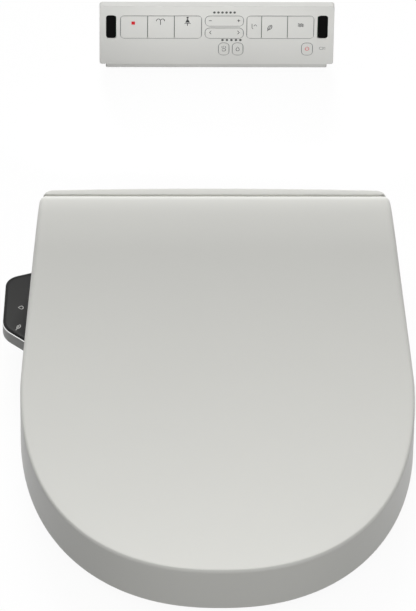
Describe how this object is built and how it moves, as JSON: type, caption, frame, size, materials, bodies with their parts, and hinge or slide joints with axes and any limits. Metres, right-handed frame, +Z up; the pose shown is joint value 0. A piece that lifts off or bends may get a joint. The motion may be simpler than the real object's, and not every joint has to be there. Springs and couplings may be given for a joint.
{
  "type": "electric bidet seat",
  "caption": "Electric bidet seat: a hinged lid and heated ring on a washing unit with spray nozzles and a side control arm, with a hand remote in its holder.",
  "frame": {"origin": "midway between the two deck bolts, on the bowl's rim", "axes": "+Z up, -Y towards the front of the seat, -X the side with the control arm"},
  "size_m": [0.4068, 0.9058, 0.112],
  "materials": {
    "body_plastic": "smooth moulded plastic, satin gloss",
    "seat_plastic": "smooth moulded plastic",
    "dark_panel": "polished dark acrylic",
    "bright_trim": "bright plated",
    "inner_plastic": "plain moulded plastic",
    "nozzle_plastic": "white moulded plastic",
    "gear_plastic": "acetal, natural colour",
    "tank_plastic": "glass-filled plastic",
    "steel": "turned",
    "transformer_steel": "varnished laminations",
    "brass_nickel": "nickel plated brass, machined",
    "foil": "heating foil",
    "rubber_grey": "soft rubber",
    "rubber_black": "rubber",
    "board": "glass-fibre circuit board",
    "filter_carbon": "moulded frame with carbon",
    "remote_white": "smooth white plastic",
    "holder_white": "satin plastic",
    "window_black": "infrared window",
    "key_grey": "smooth key",
    "led_green": "small lens",
    "battery_metal": "wrapped cell"
  },
  "bodies": {
    "plate": {"mounting_plate": "inner_plastic", "plate_adjusters": "inner_plastic", "remote_holder": "holder_white"},
    "washing_unit": {"base_tray": "body_plastic", "upper_cover": "seat_plastic", "rear_cover": "body_plastic", "base_pads": "rubber_grey", "cover_screws": "steel", "hinge_pins": "steel", "seat_damper": "tank_plastic", "lid_damper": "tank_plastic", "control_arm": "body_plastic", "panel_trim": "bright_trim", "control_panel": "dark_panel", "panel_board": "board", "main_board": "board", "power_supply": "transformer_steel", "water_heater": "tank_plastic", "inlet_valve": "inner_plastic", "inlet_fitting": "brass_nickel", "cable_gland": "rubber_black", "flow_diverter": "inner_plastic", "nozzle_frame": "inner_plastic", "nozzle_motors": "steel", "fan_housing": "inner_plastic"},
    "seat": {"seat_shell": "seat_plastic", "seat_base": "seat_plastic", "seat_heater": "foil", "seat_bumpers": "rubber_grey"},
    "lid": {"lid_shell": "body_plastic", "lid_bumpers": "rubber_grey"},
    "rear_nozzle": {"rear_wand": "nozzle_plastic", "rear_nozzle_tip": "nozzle_plastic"},
    "front_nozzle": {"front_wand": "nozzle_plastic", "front_nozzle_tip": "nozzle_plastic"},
    "rear_gear": {"rear_pinion": "gear_plastic"},
    "front_gear": {"front_pinion": "gear_plastic"},
    "impeller": {"fan_impeller": "tank_plastic"},
    "filter": {"odour_filter": "filter_carbon"},
    "release": {"release_button": "inner_plastic"},
    "drain": {"drain_plug": "inner_plastic"},
    "remote": {"remote_front": "remote_white", "remote_back": "remote_white", "batteries": "battery_metal", "remote_board": "board", "remote_windows": "window_black", "remote_leds": "led_green"},
    "door": {"battery_door": "remote_white"},
    "stop_key_body": {"stop_key": "key_grey"},
    "rear_wash_key_body": {"rear_wash_key": "key_grey"},
    "front_wash_key_body": {"front_wash_key": "key_grey"},
    "nozzle_clean_key_body": {"nozzle_clean_key": "key_grey"},
    "power_save_key_body": {"power_save_key": "key_grey"},
    "massage_key_body": {"massage_key": "key_grey"},
    "seat_heat_key_body": {"seat_heat_key": "key_grey"},
    "water_heat_key_body": {"water_heat_key": "key_grey"},
    "power_key_body": {"power_key": "key_grey"},
    "pressure_rocker_body": {"pressure_rocker": "key_grey"},
    "position_rocker_body": {"position_rocker": "key_grey"}
  },
  "joints": [
    {"name": "unit_slide", "type": "slide", "parent": "plate", "child": "washing_unit", "axis": [0, -1, 0], "range_m": [0, 0.04]},
    {"name": "seat_hinge", "type": "hinge", "parent": "washing_unit", "child": "seat", "pos_m": [0, 0.033, 0.092], "axis": [-1, 0, 0], "range_deg": [0, 95]},
    {"name": "lid_hinge", "type": "hinge", "parent": "seat", "child": "lid", "pos_m": [0, 0.033, 0.092], "axis": [1, 0, 0], "range_deg": [-100, 0]},
    {"name": "rear_nozzle_slide", "type": "slide", "parent": "washing_unit", "child": "rear_nozzle", "axis": [0, -0.8746, -0.4848], "range_m": [0, 0.074]},
    {"name": "front_nozzle_slide", "type": "slide", "parent": "washing_unit", "child": "front_nozzle", "axis": [0, -0.8746, -0.4848], "range_m": [0, 0.086]},
    {"name": "rear_gear_spin", "type": "hinge", "parent": "washing_unit", "child": "rear_gear", "pos_m": [0.03427, -0.08002, 0.03439], "axis": [0, -0.4848, 0.8746], "range_deg": [0, 404.8]},
    {"name": "front_gear_spin", "type": "hinge", "parent": "washing_unit", "child": "front_gear", "pos_m": [-0.03427, -0.08002, 0.03439], "axis": [0, 0.4848, -0.8746], "range_deg": [0, 470.3]},
    {"name": "impeller_spin", "type": "hinge", "parent": "washing_unit", "child": "impeller", "pos_m": [0.084, -0.014, 0.02], "axis": [0, 0, 1], "continuous": true},
    {"name": "filter_slide", "type": "slide", "parent": "washing_unit", "child": "filter", "axis": [1, 0, 0], "range_m": [0, 0.07]},
    {"name": "release_press", "type": "slide", "parent": "washing_unit", "child": "release", "axis": [-1, 0, 0], "range_m": [0, 0.004], "stiffness_N_per_m": 500, "springref_m": -0.002},
    {"name": "drain_turn", "type": "hinge", "parent": "washing_unit", "child": "drain", "pos_m": [0.178, -0.064, 0.018], "axis": [1, 0, 0], "range_deg": [0, 90]},
    {"name": "remote_lift", "type": "slide", "parent": "plate", "child": "remote", "axis": [0, 0, 1], "range_m": [0, 0.07]},
    {"name": "battery_door_slide", "type": "slide", "parent": "remote", "child": "door", "axis": [1, 0, 0], "range_m": [0, 0.012]},
    {"name": "stop_press", "type": "slide", "parent": "remote", "child": "stop_key_body", "axis": [0, 1, 0], "range_m": [0, 0.0008], "stiffness_N_per_m": 600, "springref_m": -0.0008},
    {"name": "rear_wash_press", "type": "slide", "parent": "remote", "child": "rear_wash_key_body", "axis": [0, 1, 0], "range_m": [0, 0.0008], "stiffness_N_per_m": 600, "springref_m": -0.0008},
    {"name": "front_wash_press", "type": "slide", "parent": "remote", "child": "front_wash_key_body", "axis": [0, 1, 0], "range_m": [0, 0.0008], "stiffness_N_per_m": 600, "springref_m": -0.0008},
    {"name": "nozzle_clean_press", "type": "slide", "parent": "remote", "child": "nozzle_clean_key_body", "axis": [0, 1, 0], "range_m": [0, 0.0008], "stiffness_N_per_m": 600, "springref_m": -0.0008},
    {"name": "power_save_press", "type": "slide", "parent": "remote", "child": "power_save_key_body", "axis": [0, 1, 0], "range_m": [0, 0.0008], "stiffness_N_per_m": 600, "springref_m": -0.0008},
    {"name": "massage_press", "type": "slide", "parent": "remote", "child": "massage_key_body", "axis": [0, 1, 0], "range_m": [0, 0.0008], "stiffness_N_per_m": 600, "springref_m": -0.0008},
    {"name": "seat_heat_press", "type": "slide", "parent": "remote", "child": "seat_heat_key_body", "axis": [0, 1, 0], "range_m": [0, 0.0008], "stiffness_N_per_m": 600, "springref_m": -0.0008},
    {"name": "water_heat_press", "type": "slide", "parent": "remote", "child": "water_heat_key_body", "axis": [0, 1, 0], "range_m": [0, 0.0008], "stiffness_N_per_m": 600, "springref_m": -0.0008},
    {"name": "power_press", "type": "slide", "parent": "remote", "child": "power_key_body", "axis": [0, 1, 0], "range_m": [0, 0.0008], "stiffness_N_per_m": 600, "springref_m": -0.0008},
    {"name": "pressure_rock", "type": "hinge", "parent": "remote", "child": "pressure_rocker_body", "pos_m": [0.01545, 0.4176, 0.0619], "axis": [0, 0, 1], "range_deg": [-3, 3], "stiffness_Nm_per_rad": 0.2},
    {"name": "position_rock", "type": "hinge", "parent": "remote", "child": "position_rocker_body", "pos_m": [0.01545, 0.4176, 0.04615], "axis": [0, 0, 1], "range_deg": [-3, 3], "stiffness_Nm_per_rad": 0.2}
  ],
  "couplings": [
    {"joint": "rear_gear_spin", "follows": "rear_nozzle_slide", "rad_per_m": 95.238},
    {"joint": "front_gear_spin", "follows": "front_nozzle_slide", "rad_per_m": 95.238}
  ]
}
